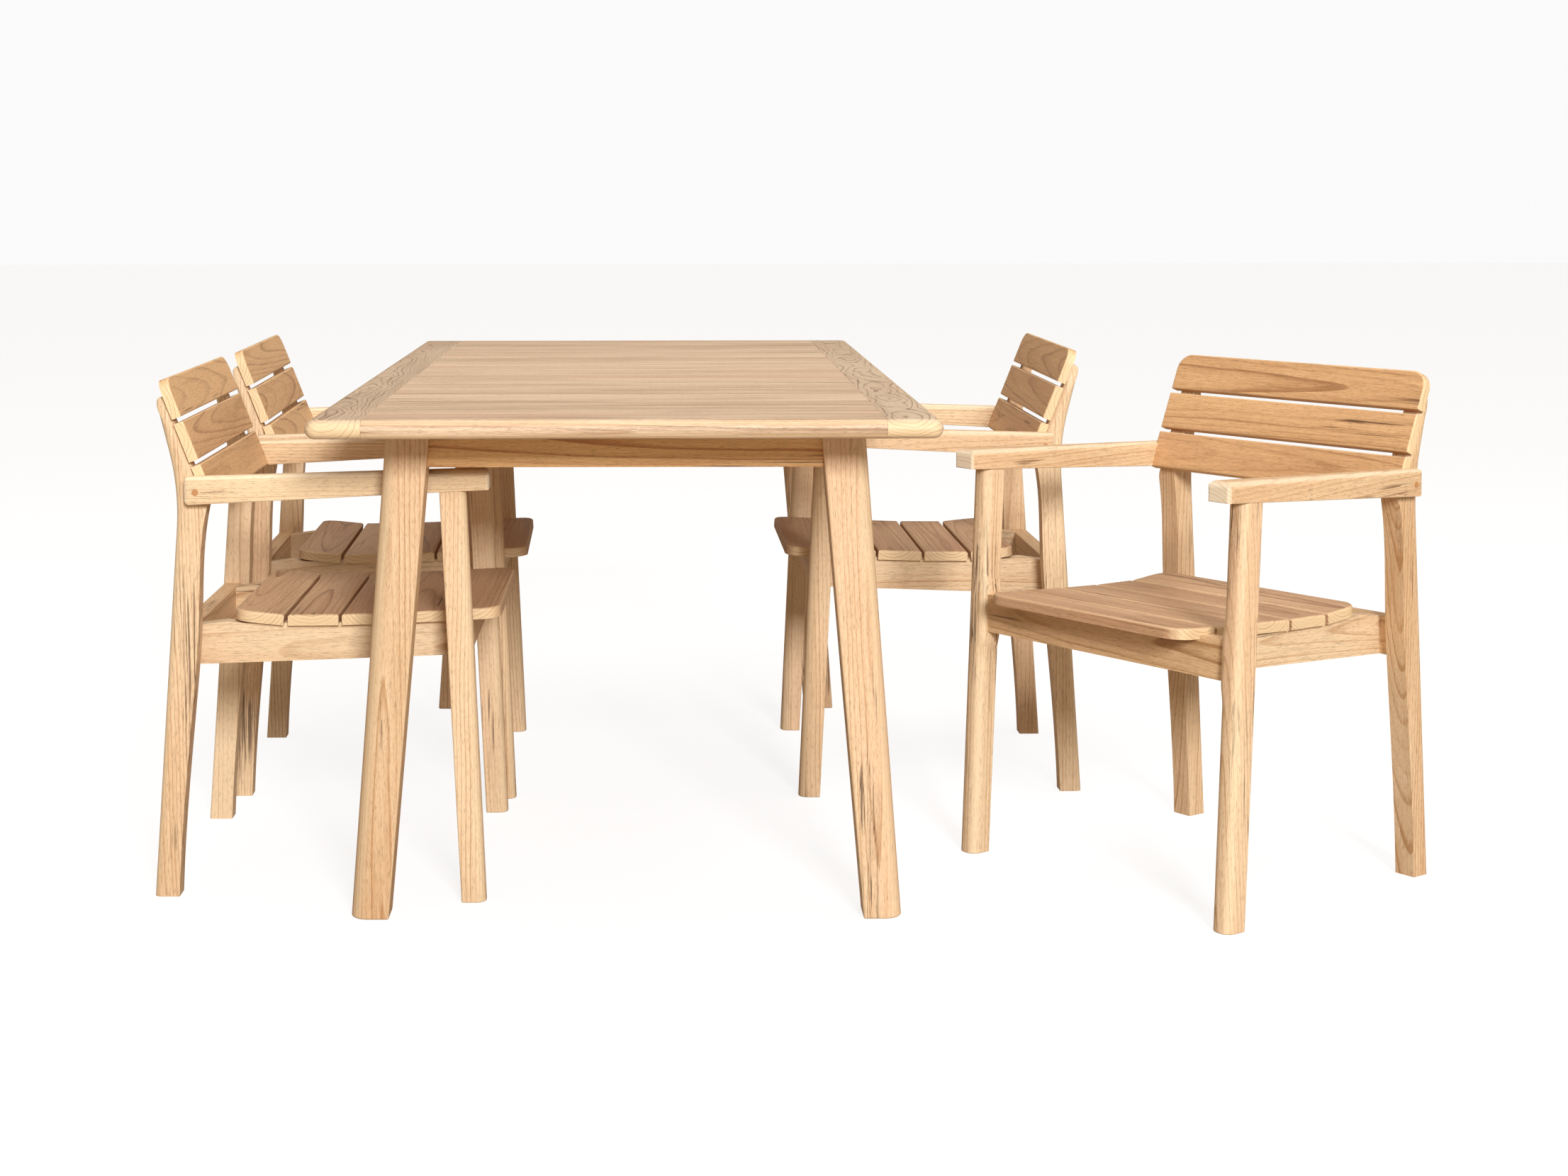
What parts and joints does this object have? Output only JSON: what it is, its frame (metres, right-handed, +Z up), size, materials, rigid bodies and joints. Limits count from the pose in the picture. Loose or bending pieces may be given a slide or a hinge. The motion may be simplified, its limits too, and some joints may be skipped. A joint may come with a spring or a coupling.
{
  "type": "patio dining set",
  "caption": "Slatted wooden garden table with four matching armchairs, each with a slatted seat and a low reclined back, for meals outdoors.",
  "frame": {"origin": "on the floor, under the middle of the whole set's bounding box", "axes": "+Z up; +X across the table, towards the side with the pulled-out chair; +Y along the table's length, away from the end that the pulled-out chair stands near"},
  "size_m": [1.9706, 1.8, 0.7891],
  "materials": {
    "table_top": "oiled teak, smooth, grain visible",
    "table_frame": "oiled teak, satin",
    "table_legs": "oiled teak, satin, pale honey",
    "table_fixings": "zinc plated",
    "chair_legs": "oiled teak, satin, pale honey",
    "chair_arms": "oiled teak, satin, rounded by sanding",
    "chair_rails": "oiled teak, satin",
    "chair_slats": "oiled teak, satin, slightly pink",
    "dowels": "sanded end grain"
  },
  "bodies": {
    "table": {"table_leg_far_right": "table_legs", "table_leg_far_left": "table_legs", "table_leg_near_right": "table_legs", "table_leg_near_left": "table_legs", "table_side_boards": "table_top", "table_end_boards": "table_top", "table_top_slats": "table_top", "table_end_aprons": "table_frame", "table_side_aprons": "table_frame", "table_corner_blocks": "table_frame", "table_slat_bearers": "table_frame", "table_fixings": "table_fixings"},
    "near_left_chair": {"near_left_chair_front_leg_left": "chair_legs", "near_left_chair_front_leg_right": "chair_legs", "near_left_chair_rear_leg_left": "chair_legs", "near_left_chair_rear_leg_right": "chair_legs", "near_left_chair_armrest_left": "chair_arms", "near_left_chair_armrest_right": "chair_arms", "near_left_chair_front_rail": "chair_rails", "near_left_chair_back_rail": "chair_rails", "near_left_chair_side_rails": "chair_rails", "near_left_chair_seat_slats": "chair_slats", "near_left_chair_back_slats": "chair_slats", "near_left_chair_dowels": "dowels"},
    "far_left_chair": {"far_left_chair_front_leg_left": "chair_legs", "far_left_chair_front_leg_right": "chair_legs", "far_left_chair_rear_leg_left": "chair_legs", "far_left_chair_rear_leg_right": "chair_legs", "far_left_chair_armrest_left": "chair_arms", "far_left_chair_armrest_right": "chair_arms", "far_left_chair_front_rail": "chair_rails", "far_left_chair_back_rail": "chair_rails", "far_left_chair_side_rails": "chair_rails", "far_left_chair_seat_slats": "chair_slats", "far_left_chair_back_slats": "chair_slats", "far_left_chair_dowels": "dowels"},
    "far_right_chair": {"far_right_chair_front_leg_left": "chair_legs", "far_right_chair_front_leg_right": "chair_legs", "far_right_chair_rear_leg_left": "chair_legs", "far_right_chair_rear_leg_right": "chair_legs", "far_right_chair_armrest_left": "chair_arms", "far_right_chair_armrest_right": "chair_arms", "far_right_chair_front_rail": "chair_rails", "far_right_chair_back_rail": "chair_rails", "far_right_chair_side_rails": "chair_rails", "far_right_chair_seat_slats": "chair_slats", "far_right_chair_back_slats": "chair_slats", "far_right_chair_dowels": "dowels"},
    "near_right_chair": {"near_right_chair_front_leg_left": "chair_legs", "near_right_chair_front_leg_right": "chair_legs", "near_right_chair_rear_leg_left": "chair_legs", "near_right_chair_rear_leg_right": "chair_legs", "near_right_chair_armrest_left": "chair_arms", "near_right_chair_armrest_right": "chair_arms", "near_right_chair_front_rail": "chair_rails", "near_right_chair_back_rail": "chair_rails", "near_right_chair_side_rails": "chair_rails", "near_right_chair_seat_slats": "chair_slats", "near_right_chair_back_slats": "chair_slats", "near_right_chair_dowels": "dowels"}
  },
  "joints": [
    {"name": "near_left_chair_slide", "type": "slide", "parent": "table", "child": "near_left_chair", "axis": [1, 0, 0], "range_m": [-0.45, 0]},
    {"name": "far_left_chair_slide", "type": "slide", "parent": "table", "child": "far_left_chair", "axis": [0.9998, 0.0209, 0], "range_m": [-0.45, 0]},
    {"name": "far_right_chair_slide", "type": "slide", "parent": "table", "child": "far_right_chair", "axis": [-0.9999, -0.0105, 0], "range_m": [-0.37, 0.08]},
    {"name": "near_right_chair_slide", "type": "slide", "parent": "table", "child": "near_right_chair", "axis": [-0.8141, -0.5807, 0], "range_m": [-0.1, 0.2]}
  ]
}
